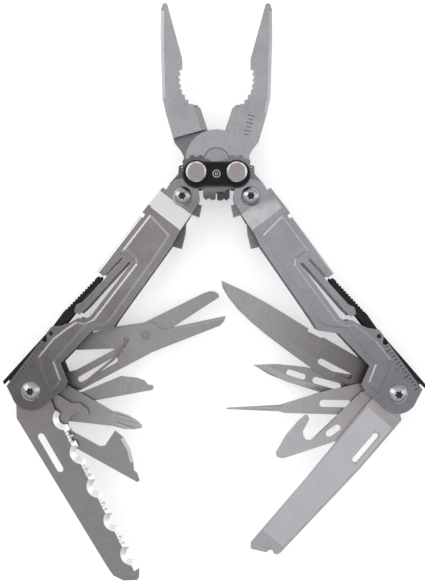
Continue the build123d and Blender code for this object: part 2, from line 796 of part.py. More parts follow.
def awl():
    """A flat body with a round tapered spike."""
    outline = [
        (0.0, -6.1),
        (13.6, -5.1),
        (30.0, -2.7),
        (46.5, 1.0),
        (48.3, 1.7),
        (48.3, 3.6),
        (45.6, 4.6),
        (25.0, 6.8),
        (0.0, 6.1),
    ]
    bottom, top = LAYERS["awl"]
    body = tool_blank(outline, "awl") - slot((19.8, 2.9), (29.6, 2.0), 3.0, bottom, top)
    spike = Cone(1.5, 0.35, 23, rotation=(0, 90, 0), align=(Align.CENTER, Align.CENTER, Align.MIN))
    spike &= Box(80, 8, 2.4, align=(Align.CENTER, Align.CENTER, Align.CENTER))
    return body + Pos(46.1, 2.6, (bottom + top) / 2) * Rot(0, 0, -4.2) * spike


def hook_cutter():
    outline = [
        (0.0, -5.7),
        (12.6, -6.7),
        (25.8, -2.4),
        (37.2, 1.2),
        (39.3, 1.8),
        (40.8, 1.1),
        (41.3, -0.7),
        (40.7, -2.7),
        (36.0, -6.2),
        (36.0, -7.8),
        (36.9, -8.3),
        (41.1, -7.2),
        (47.6, -4.4),
        (54.3, 0.1),
        (54.7, 1.9),
        (52.6, 3.6),
        (30.5, 6.6),
        (9.8, 7.1),
        (0.0, 6.1),
    ]
    bottom, top = LAYERS["hook_cutter"]
    body = tool_blank(outline, "hook_cutter")
    body -= grind((37.2, 1.2), (25.8, -2.4), 1.8, 0.9, top)
    return body - slot((27.6, 2.1), (31.4, 2.7), 2.8, bottom, top)


def file():
    outline = [
        (0.0, -5.8),
        (10.9, -6.5),
        (50.3, -6.0),
        (83.8, -6.4),
        (85.7, -4.7),
        (83.0, 0.6),
        (80.6, 5.0),
        (79.2, 5.5),
        (57.4, 6.7),
        (32.6, 8.1),
        (6.8, 8.3),
        (5.6, 6.5),
        (0.0, 6.0),
    ]
    bottom, top = LAYERS["file"]
    body = tool_blank(outline, "file") - slot((18.6, 4.3), (31.1, 4.2), 2.3, bottom, top)
    return body - disc((82.0, 2.5), 1.35, bottom, top)


# ---------------------------------------------------------------- places in the row's frame
LEFT_TOOLS = ["serrated_blade", "can_opener", "crosshead_driver", "medium_driver", "scissor_frame"]
RIGHT_TOOLS = ["file", "hook_cutter", "awl", "straight_blade", "small_blade"]
MIDDLE = Pos(0, 0, HALF_DEPTH)


def at_head(shape):
    return MIDDLE * Pos(MAIN_PIVOT[0], MAIN_PIVOT[1], 0) * shape


def turned_over(shape):
    return Rot(0, 180, 0) * shape


def handle_point(side, x):
    """A point on a handle's line, at x from its tool axle, in the row's frame."""
    sign = -1 if side == "left" else 1
    angle = math.radians(HANDLE_ANGLE[side])
    fold = (MAIN_PIVOT[0] + sign * FOLD_OFFSET[0], MAIN_PIVOT[1] + FOLD_OFFSET[1])
    reach = HANDLE_LENGTH - x
    return (fold[0] + sign * reach * math.sin(angle), fold[1] - reach * math.cos(angle))


def on_handle(shape, side):
    """A piece made in the left handle's axes, put on either handle."""
    axle = handle_point(side, 0)
    turn = 90 - HANDLE_ANGLE["left"] if side == "left" else 90 + HANDLE_ANGLE["right"]
    piece = shape if side == "left" else mirrored(shape)
    return MIDDLE * Pos(axle[0], axle[1], 0) * Rot(0, 0, turn) * piece


def as_tool(shape, side, angle_name):
    axle = handle_point(side, 0)
    return MIDDLE * Pos(axle[0], axle[1], 0) * Rot(0, 0, TOOL_ANGLE[angle_name]) * shape


def rear(shape):
    return mirror(shape, about=Plane.XY)


def head_pieces():
    studs = [Pos(side * STUD_OFFSET[0], STUD_OFFSET[1], 0) * stud() for side in (-1, 1)]
    return {
        "jaw_right": at_head(jaw()),
        "jaw_left": at_head(turned_over(jaw())),
        "jaw_pivot": at_head(jaw_pivot()),
        "link_plate_front": at_head(link_plate()),
        "link_plate_rear": at_head(turned_over(link_plate())),
        "link_studs": at_head(Part() + studs),
        "gear_arm_right": at_head(arm(False)),
        "gear_arm_left": at_head(turned_over(arm(True))),
    }


def handle_pieces(side, tools):
    shell = handle_shell()
    fold_base, axle_base = CHEEK_TOP, SHELL_OUTER
    fold_top = fold_base + 2.4
    pieces = {
        "front_shell": shell,
        "rear_shell": rear(shell),
        "fold_screw": Pos(*FOLD) * screw(fold_base, fold_top, -3.0),
        "fold_sleeve": Pos(*FOLD) * sleeve(fold_base, fold_top, fold_base - 0.1),
        "axle_screw": screw(axle_base, HALF_DEPTH, -5.5),
        "axle_sleeve": sleeve(axle_base, HALF_DEPTH, axle_base - 0.1),
        "tool_spacers": spacers(tools),
        "lock_lever": lock_lever(),
        "lock_pin": lock_pin(),
    }
    return {f"{side}_{name}": on_handle(shape, side) for name, shape in pieces.items()}


def tool_pieces():
    return {
        "scissor_frame": as_tool(scissor_frame(), "left", "scissors"),
        "scissor_lever": as_tool(scissor_lever(), "left", "scissors"),
        "scissor_rivet": as_tool(scissor_rivet(), "left", "scissors"),
        "scissor_spring": as_tool(scissor_spring(), "left", "scissors"),
        "medium_driver": as_tool(medium_driver(), "left", "medium_driver"),
        "crosshead_driver": as_tool(crosshead_driver(), "left", "crosshead_driver"),
        "can_opener": as_tool(can_opener(), "left", "can_opener"),
        "serrated_blade": as_tool(serrated_blade(), "left", "serrated_blade"),
        "straight_blade": as_tool(straight_blade(), "right", "straight_blade"),
        "small_blade": as_tool(small_blade(), "right", "small_blade"),
        "awl": as_tool(awl(), "right", "awl"),
        "hook_cutter": as_tool(hook_cutter(), "right", "hook_cutter"),
        "file": as_tool(file(), "right", "file"),
    }


def main():
    os.makedirs("parts", exist_ok=True)
    pieces = head_pieces()
    pieces.update(handle_pieces("left", LEFT_TOOLS))
    pieces.update(handle_pieces("right", RIGHT_TOOLS))
    pieces.update(tool_pieces())
    for name, shape in pieces.items():
        export_step(shape, f"parts/{name}.step")
    print("wrote", len(pieces), "nodes")


main()
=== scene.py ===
"""Looks of the pocket multi tool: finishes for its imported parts, fine relief on them, and the studio."""

import json
import math

import bpy
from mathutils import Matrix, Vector


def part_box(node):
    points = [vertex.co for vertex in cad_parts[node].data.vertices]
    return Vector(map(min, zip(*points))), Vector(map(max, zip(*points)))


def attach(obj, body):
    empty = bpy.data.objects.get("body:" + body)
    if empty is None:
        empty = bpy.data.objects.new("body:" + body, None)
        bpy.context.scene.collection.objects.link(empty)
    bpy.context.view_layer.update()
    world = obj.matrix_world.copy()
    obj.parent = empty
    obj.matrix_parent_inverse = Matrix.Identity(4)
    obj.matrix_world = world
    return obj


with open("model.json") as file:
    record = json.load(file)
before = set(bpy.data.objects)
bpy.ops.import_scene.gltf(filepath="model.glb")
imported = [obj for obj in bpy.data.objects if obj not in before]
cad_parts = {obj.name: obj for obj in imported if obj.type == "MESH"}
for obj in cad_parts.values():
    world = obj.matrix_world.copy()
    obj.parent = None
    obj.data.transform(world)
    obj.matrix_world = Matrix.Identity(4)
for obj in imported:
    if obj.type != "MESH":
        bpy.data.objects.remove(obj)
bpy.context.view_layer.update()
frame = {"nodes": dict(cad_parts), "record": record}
NODES = frame["nodes"]
MM = 0.001

# ---------------------------------------------------------------- sizes, millimetres and degrees
EDGE_SOFTNESS = 0.14  # the tumbled edge of a stamped part
FINE_SOFTNESS = 0.06  # the edge of a small or thin part
JOIN_DISTANCE = 0.002  # points nearer than this are one point
JOIN_ANGLE = 0.5  # faces that meet within this angle are one face
SHARP_ANGLE = 28.0  # edges that turn by more than this are rounded
SURFACE_GAP = 0.015  # how far a printed or inked mark stands off its face
INK_DEPTH = 0.1  # how far a ruler mark reaches into the handle
SHELL_FACE = 7.6  # the handle's flat face, from the middle plane

TICKS = 14  # ruler marks along a handle
TICK_PITCH = 25.4 / 16
FIRST_TICK = -2.6  # from the tool axle towards the fold screw
TICK_LENGTHS = (2.6, 1.7, 1.1)  # at half inches, at quarter inches and between them
TICK_WIDTH = 0.36
RULER_LINE = 8.2  # where the ruler marks end, towards the rounded edge
HANDLE_MARK = {"place": (8.2, 5.6), "radii": (0.55, 0.78)}

RECESS = {"radius": 1.19, "lobes": 6, "lobe_height": 0.37, "floor": 0.75, "bottom": 1.29}
STUD_RADIUS = 4.1
STUD_RIM = 0.75  # the stud's bevel, outside its turned face
PIVOT_RING = (4.95, 5.2)
LINK_RINGS = ((1.25, 1.6, 48), (0.35, 0.65, 24))  # inner and outer radius, and sides
RIVET_RING = (1.15, 1.35)
# The right jaw's row of strokes: its middle from the pivot, then the strokes themselves
GRADUATION = {"angle": 47.6, "reach": 19.4, "turn": -15.0, "count": 6, "pitch": 1.6, "width": 0.28}
STROKE_LENGTHS = (1.8, 3.0)

FILE_CUT = {"start": 12.0, "end": 77.0, "low": -5.4, "margin": 0.8, "pitch": 1.0, "height": 0.08}
FILE_SLOT = {"start": 18.6, "end": 31.1, "y": 4.3, "radius": 1.15}
FILE_EDGE = 8.1  # the file's wider edge, which tapers from FILE_TAPER_START on
FILE_TAPER_START = 32.6
FILE_TAPER = 0.056
TOOTH_SHARE = 0.47  # half a tooth's width, in pitches

CAMERA_HEIGHT = 400.0  # above the plane where the frame's height is FRAME_HEIGHT
FRAME_HEIGHT = 232.4
FRAME_PLANE = 17.2
FRAME_CENTRE = (-0.6, -1.2)
SENSOR = 36.0

# ---------------------------------------------------------------- tools
# Each tool's direction from its axle, and how light its steel is at the tip and at the tang: painted light
# and shade, the tang in painted shade under the handles.
# "fade" is where along the tool the painted shade at the tang gives way to the tip's colour, and "edge" is
# the colour of its ground bevels, partly their finish and partly painted highlight.
TOOLS = {
    "scissor_frame": {"side": "left", "angle": 26.1, "tip": 1.0, "tang": 0.6},
    "scissor_lever": {"side": "left", "angle": 26.1, "tip": 1.0, "tang": 0.3},
    "medium_driver": {"side": "left", "angle": 1.5, "tip": 1.1, "tang": 0.7},
    "crosshead_driver": {"side": "left", "angle": -16.2, "tip": 1.35, "tang": 0.6},
    "can_opener": {"side": "left", "angle": -39.0, "tip": 0.88, "tang": 0.8},
    # The serrated blade's white bevels are painted highlight.
    "serrated_blade": {"side": "left", "angle": -65.2, "tip": 0.8, "tang": 0.78, "edge": (1.0, 1.0, 1.0)},
    "straight_blade": {
        "side": "right",
        "angle": 147.1,
        "tip": 1.1,
        "tang": 0.34,
        # The straight blade's warm brown steel is a painted reflection.
        "steel": (0.40, 0.335, 0.33),
        "edge": (0.45, 0.44, 0.44),
        "fade": (8.0, 66.0),
    },
    "small_blade": {"side": "right", "angle": 168.5, "tip": 1.05, "tang": 0.55, "steel": (0.37, 0.34, 0.33)},
    "awl": {"side": "right", "angle": 184.5, "tip": 1.3, "tang": 0.9},
    "hook_cutter": {"side": "right", "angle": 206.0, "tip": 1.45, "tang": 1.1},
    "file": {"side": "right", "angle": 229.8, "tip": 1.25, "tang": 1.25},
}
# The tang and tip steel, and where the painted shade at the tang gives way to the tip, in millimetres from
# the axle
TOOL_TANG = (0.37, 0.345, 0.34)
TOOL_TIP = (0.36, 0.35, 0.36)
TOOL_BEVEL = (0.52, 0.52, 0.52)
TOOL_SHADE_FADE = (12.0, 45.0)

# ---------------------------------------------------------------- colours; a pair is the steel and its mottle
# The _EDGE and _BEVEL colours lighten rounded edges and ground bevels: partly wear and finish, partly painted
# highlight.
JAW_STEEL = ((0.45, 0.445, 0.46), (0.40, 0.395, 0.41))
JAW_EDGE = (0.50, 0.50, 0.50)
# Painted shade: the jaws darken more than 9 mm below the pivot, darkest from 14 mm on.
JAW_SHADE_FADE = (90.0, -14.0, -9.0, 0.35)  # direction, darkest and full light from the pivot, and the share there
# Painted shade on faces that lie sunk towards the jaws' middle plane.
JAW_SUNK_SHADE = 0.6  # how light the jaws are at their middle plane
PIVOT_STEEL = (0.40, 0.40, 0.41)
LINK_BLACK = ((0.005, 0.0048, 0.005), (0.03, 0.03, 0.033))  # the coating, and where it is rubbed
STUD_STEEL = ((0.42, 0.40, 0.40), (0.36, 0.34, 0.34))
STUD_EDGE = (0.8, 0.8, 0.8)
STUD_FACE = (0.42, 0.365, 0.36)
# The two arms are one steel: the left arm's darker colour is painted shade.
ARM_STEEL = {"left": (0.18, 0.165, 0.17), "right": (0.27, 0.26, 0.265)}
ARM_EDGE = (0.34, 0.34, 0.34)
# The two handles are one steel: the left handle's darker colour is painted shade.
SHELL_STEEL = {
    "left": ((0.31, 0.295, 0.305), (0.26, 0.235, 0.245)),
    "right": ((0.39, 0.385, 0.415), (0.35, 0.345, 0.37)),
}
# Painted light on the handles' rounded edges: near white on the left, a little darker than the face on the
# right.
SHELL_EDGE = {"left": (0.90, 0.88, 0.89), "right": (0.36, 0.355, 0.36)}
# Painted highlight on the steep bevels of the handles' raised panels.
SHELL_RIDGE_HIGHLIGHT = (0.66, 0.65, 0.66)
# Painted shade: the handles' steel is darker towards the tool axle, more so on the left.
SHELL_AXLE_SHADE = {"left": 0.5, "right": 0.62}  # how light the steel is about the tool axle
SHELL_SHADE_FADE = (5.0, 60.0)  # from the tool axle, where it starts and ends to lighten
LEVER_BLACK = ((0.008, 0.0078, 0.008), (0.035, 0.034, 0.034))
SCREW_STEEL = (0.52, 0.52, 0.53)
SPACER_STEEL = (0.5, 0.49, 0.47)
PIN_STEEL = ((0.05, 0.05, 0.05), (0.04, 0.04, 0.04))
WIRE_STEEL = ((0.30, 0.25, 0.23), (0.24, 0.20, 0.18))
RIVET_STEEL = (0.36, 0.35, 0.35)
FILE_STEEL = ((0.54, 0.54, 0.56), (0.44, 0.44, 0.46))
FILE_BEVEL = (0.60, 0.60, 0.62)
MARK_SILVER = ((0.62, 0.52, 0.48), (0.55, 0.46, 0.43))
DARK_INK = (0.03, 0.03, 0.032)
# Painted shadow at the floor of the screws' driver recesses.
RECESS_SHADOW = (0.012, 0.012, 0.013)
COATING_SHINE = 0.22
BLASTED_EDGE = (0.74, 0.73, 0.74)
BRUSHED_EDGE = (0.72, 0.71, 0.72)

# How far a face's normal points up or down, 1 on a flat face and 0 on an upright wall
OFF_FLAT = (0.995, 0.965)  # from flat to clearly sloping
OFF_WALL = (0.15, 0.35)  # from upright to clearly sloping
STEEPER_THAN_RAMP = (0.89, 0.83)

# ---------------------------------------------------------------- studio, metres and watts
SKY_STRENGTH = 1.0
OVERHEAD = (0.84, 0.84, 0.86)
NEAR_HORIZON = (0.10, 0.13, 0.14)
FAR_HORIZON = (0.46, 0.46, 0.47)
NEAR_TO_FAR = (-0.75, 0.35)  # the sky direction's Y between which the horizon changes
HORIZON_TO_OVERHEAD = (0.05, 0.85)  # the same for its Z, from the horizon up
FLOOR_HALF = 2.5  # half the floor's width
PAPER = (0.93, 0.93, 0.93)
PAPER_GLOW = 0.42
# Each softbox's place, size and power; all are aimed at the middle of the floor
SOFTBOXES = {
    "left_softbox": ((-0.55, 0.35, 0.45), (0.5, 0.7), 1.3),
    "right_softbox": ((0.6, 0.1, 0.35), (0.4, 0.7), 0.6),
}


# ---------------------------------------------------------------- shader building blocks
def new_material(name, metallic, roughness):
    material = bpy.data.materials.new(name)
    material.use_nodes = True
    surface = material.node_tree.nodes["Principled BSDF"]
    surface.inputs["Metallic"].default_value = metallic
    surface.inputs["Roughness"].default_value = roughness
    return material, surface


def supply(material, socket, value):
    """Gives a socket its value, which is another socket or a constant."""
    if isinstance(value, bpy.types.NodeSocket):
        material.node_tree.links.new(value, socket)
    else:
        socket.default_value = value


def add_node(material, kind, inputs=None, **settings):
    """A shader node with its settings, and its inputs as sockets or constants."""
    node = material.node_tree.nodes.new(kind)
    for name, value in settings.items():
        setattr(node, name, value)
    for name, value in (inputs or {}).items():
        supply(material, node.inputs[name], value)
    return node


def maths(material, operation, *values):
    return add_node(material, "ShaderNodeMath", dict(enumerate(values)), operation=operation).outputs[0]


def vector_maths(material, operation, *values, output="Vector"):
    node = add_node(material, "ShaderNodeVectorMath", dict(enumerate(values)), operation=operation)
    return node.outputs[output]


def on_part(material, kind="Object"):
    """The point on the part, or its normal, in the part's own frame."""
    return add_node(material, "ShaderNodeTexCoord").outputs[kind]


def height_of(material, vector):
    return add_node(material, "ShaderNodeSeparateXYZ", {"Vector": vector}).outputs["Z"]


def noise(material, size, detail=2.0, angle=0.0, stretch=1.0):
    """Noise with grains of size, drawn out along a direction in the part's plane."""
    inputs = {
        "Vector": on_part(material),
        "Rotation": (0, 0, math.radians(angle)),
        "Scale": (size * stretch * MM, size * MM, size * MM),
    }
    point = add_node(material, "ShaderNodeMapping", inputs, vector_type="TEXTURE").outputs["Vector"]
    inputs = {"Vector": point, "Scale": 1.0, "Detail": detail}
    return add_node(material, "ShaderNodeTexNoise", inputs).outputs["Fac"]


def spread(material, value, low, high, to_low=0.0, to_high=1.0):
    """The value's range from low to high, moved to a new range."""
    inputs = {"Value": value, "From Min": low, "From Max": high, "To Min": to_low, "To Max": to_high}
    return add_node(material, "ShaderNodeMapRange", inputs).outputs["Result"]


def blend_colours(material, share, first, second, mode="MIX"):
    """One colour over another; each is a socket or a plain colour."""
    node = add_node(material, "ShaderNodeMix", {"Factor": share}, data_type="RGBA", blend_type=mode)
    for name, colour in (("A", first), ("B", second)):
        socket = next(each for each in node.inputs if each.name == name and each.type == "RGBA")
        supply(material, socket, colour if isinstance(colour, bpy.types.NodeSocket) else (*colour, 1.0))
    return next(each for each in node.outputs if each.type == "RGBA")


def times_grey(material, base, share):
    grey = add_node(material, "ShaderNodeCombineColor", {0: share, 1: share, 2: share})
    return blend_colours(material, 1.0, base, grey.outputs[0], "MULTIPLY")


def scaled(colour, share):
    return tuple(share * part for part in colour)


def level(material):
    """1 on faces that lie flat, 0 on upright ones."""
    return maths(material, "ABSOLUTE", height_of(material, on_part(material, "Normal")))


def slope(material):
    """0 on faces that lie flat or stand upright, 1 on ground bevels and rounded edges."""
    flatness = level(material)
    off_flat = spread(material, flatness, *OFF_FLAT)
    off_wall = spread(material, flatness, *OFF_WALL)
    return maths(material, "MULTIPLY", off_flat, off_wall)


def steep(material):
    """1 on bevels steeper than a ramp, 0 on flatter faces."""
    return spread(material, level(material), *STEEPER_THAN_RAMP)


def depth_from_middle(material, middle):
    """Distance in millimetres from the part's middle plane."""
    offset = maths(material, "SUBTRACT", height_of(material, on_part(material)), middle * MM)
    return maths(material, "MULTIPLY", maths(material, "ABSOLUTE", offset), 1 / MM)


def offset_from(material, origin):
    return vector_maths(material, "SUBTRACT", on_part(material), (origin[0], origin[1], 0.0))


def along(material, origin, angle):
    """Distance in millimetres from origin, in the direction of angle in the part's plane."""
    turn = math.radians(angle)
    direction = (math.cos(turn) / MM, math.sin(turn) / MM, 0.0)
    return vector_maths(material, "DOT_PRODUCT", offset_from(material, origin), direction, output="Value")


def radius_from(material, centre):
    """Distance in metres from the upright axis at centre."""
    flat = vector_maths(material, "MULTIPLY", offset_from(material, centre), (1.0, 1.0, 0.0))
    return vector_maths(material, "LENGTH", flat, output="Value")


# ---------------------------------------------------------------- finishes
def finish_surface(material, surface, base, rough, relief, depth, strength):
    """Connects the colour and roughness, and a relief of the given depth in millimetres."""
    inputs = {"Strength": strength, "Distance": depth * MM, "Height": relief}
    bump = add_node(material, "ShaderNodeBump", inputs)
    supply(material, surface.inputs["Normal"], bump.outputs["Normal"])
    supply(material, surface.inputs["Base Color"], base)
    supply(material, surface.inputs["Roughness"], rough)
    return material


def blasted_steel(name, colour, tint, roughness, edge=BLASTED_EDGE, fade=None, ridge=None, sunk=None):
    """Bead-blasted stainless: a fine grain, a faint warm mottle and lighter edges, partly wear and partly
    painted highlight.

    fade is (origin, angle, nearest, farthest, share): painted shade, near origin the steel is darker, by
    share.
    ridge is a painted highlight on steep bevels, and sunk is (middle, share): painted shade, steel near the
    middle plane is darker.
    """
    material, surface = new_material(name, 1.0, roughness)
    mottle = spread(material, noise(material, size=9.0, detail=3.0), 0.35, 0.68)
    base = blend_colours(material, mottle, colour, tint)
    grain = noise(material, size=0.55)
    base = times_grey(material, base, spread(material, grain, 0.3, 0.7, 0.88, 1.12))
    base = blend_colours(material, slope(material), base, edge)
    if ridge:
        ridge_highlight_mask = maths(material, "MULTIPLY", slope(material), steep(material))
        base = blend_colours(material, ridge_highlight_mask, base, ridge)
    if fade:
        origin, angle, nearest, farthest, share = fade
        reach = along(material, origin, angle)
        base = times_grey(material, base, spread(material, reach, nearest, farthest, share, 1.0))
    if sunk:
        middle, share = sunk
        depth = depth_from_middle(material, middle)
        base = times_grey(material, base, spread(material, depth, 0.2, 1.2, share, 1.0))
    patches = noise(material, size=2.2, detail=3.0)
    rough = spread(material, patches, 0.3, 0.7, roughness - 0.05, roughness + 0.06)
    return finish_surface(material, surface, base, rough, relief=grain, depth=0.03, strength=0.5)


def brushed_steel(name, colour, tint, roughness, angle, across=90.0, edge=BRUSHED_EDGE, fade=None):
    """Ground stainless with streaks across the blade, and lighter ground bevels, partly their finish and
    partly painted highlight.

    fade is (origin, nearest, farthest, tip colour): out of the painted shade at its tang, the blade takes
    that colour towards its tip.
    """
    material, surface = new_material(name, 1.0, roughness)
    mottle = spread(material, noise(material, size=14.0, angle=angle, stretch=1.6), 0.35, 0.68)
    base = blend_colours(material, mottle, colour, tint)
    if fade:
        origin, nearest, farthest, tip_colour = fade
        share = spread(material, along(material, origin, angle), nearest, farthest)
        base = blend_colours(material, share, base, tip_colour)
    streak = noise(material, size=0.22, detail=3.0, angle=angle + across, stretch=22.0)
    base = times_grey(material, base, spread(material, streak, 0.3, 0.7, 0.86, 1.14))
    base = blend_colours(material, slope(material), base, edge)
    rough = spread(material, streak, 0.3, 0.7, roughness - 0.06, roughness + 0.06)
    return finish_surface(material, surface, base, rough, relief=streak, depth=0.02, strength=0.5)


def turned_steel(name, centre, colour, roughness, ring_pitch=0.6):
    """Steel faced on a lathe: rings about the axis at centre."""
    material, surface = new_material(name, 1.0, roughness)
    turns = maths(material, "MULTIPLY", radius_from(material, centre), 2 * math.pi / (ring_pitch * MM))
    height = spread(material, maths(material, "SINE", turns), -1.0, 1.0)
    grain = spread(material, noise(material, size=3.0, detail=3.0), 0.3, 0.7)
    base = blend_colours(material, grain, colour, scaled(colour, 0.9))
    base = times_grey(material, base, spread(material, height, 0.0, 1.0, 0.93, 1.05))
    rough = spread(material, grain, 0.0, 1.0, roughness - 0.04, roughness + 0.05)
    return finish_surface(material, surface, base, rough, relief=height, depth=0.01, strength=0.3)


def black_oxide(name, colour, worn, roughness):
    """Blackened steel: a fine tooth, cloudy sheen and paler rubbed edges."""
    material, surface = new_material(name, 0.0, roughness)
    surface.inputs["Specular IOR Level"].default_value = COATING_SHINE
    cloud = spread(material, noise(material, size=5.0, detail=4.0), 0.35, 0.7)
    base = blend_colours(material, cloud, colour, scaled(colour, 1.6))
    base = blend_colours(material, slope(material), base, worn)
    rough = spread(material, cloud, 0.0, 1.0, roughness - 0.07, roughness + 0.07)
    tooth = noise(material, size=0.35)
    return finish_surface(material, surface, base, rough, relief=tooth, depth=0.03, strength=0.5)


def ink(name, colour):
    """The dark fill of an engraved line, and of the painted shadow in a screw's recess."""
    roughness = 0.6
    material, surface = new_material(name, 0.0, roughness)
    cloud = spread(material, noise(material, size=0.8, detail=3.0), 0.3, 0.7)
    base = blend_colours(material, cloud, colour, scaled(colour, 1.5))
    return finish_surface(material, surface, base, roughness, relief=cloud, depth=0.01, strength=0.5)


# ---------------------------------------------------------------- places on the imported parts
def centre_of(name):
    low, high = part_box(name)
    return (low + high) / 2


def axis_point(name):
    centre = centre_of(name)
    return centre.x / MM, centre.y / MM


def middle_plane():
    return centre_of("jaw_pivot").z / MM


def polar(centre, radius, turn):
    return (centre[0] + radius * math.cos(turn), centre[1] + radius * math.sin(turn))


def handle_place(side, x, y):
    """A point of a handle, x from its tool axle towards its fold screw and y towards its outer edge."""
    axle, fold = axis_point(f"{side}_axle_screw"), axis_point(f"{side}_fold_screw")
    length = math.dist(axle, fold)
    run = ((fold[0] - axle[0]) / length, (fold[1] - axle[1]) / length)
    outward = 1 if side == "left" else -1
    return (axle[0] + x * run[0] - outward * y * run[1], axle[1] + x * run[1] + outward * y * run[0])


def tool_place(axle, angle, x, y):
    """A point x along a tool that lies at angle from its axle, and y to its left."""
    turn = math.radians(angle)
    run = (math.cos(turn), math.sin(turn))
    return (axle[0] + x * run[0] - y * run[1], axle[1] + x * run[1] + y * run[0])


def body_with(node):
    bodies = frame["record"]["behaviour"]["bodies"]
    return next(body for body, members in bodies.items() if node in members)


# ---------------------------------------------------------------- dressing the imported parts
def soften(node, width):
    """Rounds the part's sharp edges, as tumbling leaves them."""
    weld = node.modifiers.new("join_faces", "WELD")
    weld.merge_threshold = JOIN_DISTANCE * MM
    merge = node.modifiers.new("merge_flats", "DECIMATE")
    merge.decimate_type = "DISSOLVE"
    merge.angle_limit = math.radians(JOIN_ANGLE)
    bevel = node.modifiers.new("round_edges", "BEVEL")
    bevel.width = width * MM
    bevel.segments = 2
    bevel.limit_method = "ANGLE"
    bevel.angle_limit = math.radians(SHARP_ANGLE)
    bevel.use_clamp_overlap = True
    bevel.miter_outer = "MITER_ARC"


def dress(name, material, softness=None):
    node = NODES[name]
    node.data.materials.clear()
    node.data.materials.append(material)
    if softness:
        soften(node, softness)


def dress_jaws():
    pivot = centre_of("jaw_pivot")
    jaw = blasted_steel(
        "jaw_blasted",
        *JAW_STEEL,
        roughness=0.40,
        edge=JAW_EDGE,
        fade=(pivot, *JAW_SHADE_FADE),
        sunk=(middle_plane(), JAW_SUNK_SHADE),
    )
    for name in ("jaw_left", "jaw_right"):
        dress(name, jaw, EDGE_SOFTNESS)
    dress("jaw_pivot", turned_steel("pivot_faced", pivot, PIVOT_STEEL, roughness=0.38, ring_pitch=0.5))


def dress_head():
    black = black_oxide("link_black", *LINK_BLACK, roughness=0.42)
    for name in ("link_plate_front", "link_plate_rear"):
        dress(name, black, EDGE_SOFTNESS)
    studs = blasted_steel("stud_steel", *STUD_STEEL, roughness=0.3, edge=STUD_EDGE)
    dress("link_studs", studs, FINE_SOFTNESS)


def dress_arm(side):
    colour = ARM_STEEL[side]
    arm = blasted_steel(f"{side}_arm_blasted", colour, scaled(colour, 0.85), roughness=0.40, edge=ARM_EDGE)
    dress(f"gear_arm_{side}", arm, FINE_SOFTNESS)


def dress_handle(side):
    axle, fold = axis_point(f"{side}_axle_screw"), axis_point(f"{side}_fold_screw")
    run = math.degrees(math.atan2(fold[1] - axle[1], fold[0] - axle[0]))
    shell = blasted_steel(
        f"{side}_shell_blasted",
        *SHELL_STEEL[side],
        roughness=0.38,
        edge=SHELL_EDGE[side],
        fade=(centre_of(f"{side}_axle_screw"), run, *SHELL_SHADE_FADE, SHELL_AXLE_SHADE[side]),
        ridge=SHELL_RIDGE_HIGHLIGHT,
    )
    for name in ("front_shell", "rear_shell"):
        dress(f"{side}_{name}", shell, EDGE_SOFTNESS)
    lever = black_oxide(f"{side}_lever_black", *LEVER_BLACK, roughness=0.38)
    dress(f"{side}_lock_lever", lever, FINE_SOFTNESS)
    for place in ("fold", "axle"):
        screw = f"{side}_{place}_screw"
        finish = turned_steel(f"{side}_{place}_steel", centre_of(screw), SCREW_STEEL, roughness=0.22)
        dress(screw, finish)
        dress(f"{side}_{place}_sleeve", finish)
    spacers = f"{side}_tool_spacers"
    dress(spacers, turned_steel(f"{side}_spacer_steel", centre_of(spacers), SPACER_STEEL, roughness=0.35))
    dress(f"{side}_lock_pin", blasted_steel(f"{side}_pin_steel", *PIN_STEEL, roughness=0.45))


def dress_tool(name, tool):
    axle = centre_of(f"{tool['side']}_axle_screw")
    colour = scaled(tool.get("steel", TOOL_TANG), tool["tang"])
    finish = brushed_steel(
        f"{name}_brushed",
        colour,
        scaled(colour, 0.86),
        roughness=0.36,
        angle=tool["angle"],
        edge=tool.get("edge", TOOL_BEVEL),
        fade=(axle, *tool.get("fade", TOOL_SHADE_FADE), scaled(TOOL_TIP, tool["tip"])),
    )
    dress(name, finish, FINE_SOFTNESS)


def dress_scissor_fittings():
    angle = TOOLS["scissor_frame"]["angle"]
    wire = brushed_steel("spring_wire", *WIRE_STEEL, roughness=0.3, angle=angle, across=0.0)
    dress("scissor_spring", wire, FINE_SOFTNESS)
    rivet = turned_steel("rivet_steel", centre_of("scissor_rivet"), RIVET_STEEL, roughness=0.36)
    dress("scissor_rivet", rivet, FINE_SOFTNESS)


# ---------------------------------------------------------------- added pieces
def add_piece(name, parts, material, body):
    """One mesh object from (points in millimetres, faces) parts, riding on a body."""
    points, faces = [], []
    for part_points, part_faces in parts:
        first = len(points)
        points += [[value * MM for value in point] for point in part_points]
        faces += [[first + index for index in face] for face in part_faces]
    mesh = bpy.data.meshes.new(name)
    mesh.from_pydata(points, [], faces)
    mesh.materials.append(material)
    piece = bpy.data.objects.new(name, mesh)
    bpy.context.scene.collection.objects.link(piece)
    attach(piece, body)


def prism(outline, bottom, top):
    """A closed upright prism; the outline runs anticlockwise."""
    count = len(outline)
    points = [(x, y, bottom) for x, y in outline] + [(x, y, top) for x, y in outline]
    faces = [list(reversed(range(count))), list(range(count, 2 * count))]
    for i in range(count):
        after = (i + 1) % count
        faces.append([i, after, count + after, count + i])
    return points, faces


def ring(centre, inner, outer, bottom, top, count=48):
    """A closed flat ring."""
    points, faces = [], []
    for i in range(count):
        for radius, height in ((outer, bottom), (outer, top), (inner, top), (inner, bottom)):
            points.append((*polar(centre, radius, 2 * math.pi * i / count), height))
    for i in range(count):
        here, after = 4 * i, 4 * ((i + 1) % count)
        for side in range(4):
            other = (side + 1) % 4
            faces.append([here + side, after + side, after + other, here + other])
    return points, faces


def circle(centre, radius, count=48):
    return [polar(centre, radius, 2 * math.pi * i / count) for i in range(count)]


def anticlockwise(outline):
    area = sum(a[0] * b[1] - b[0] * a[1] for a, b in zip(outline, outline[1:] + outline[:1]))
    return outline if area > 0 else outline[::-1]


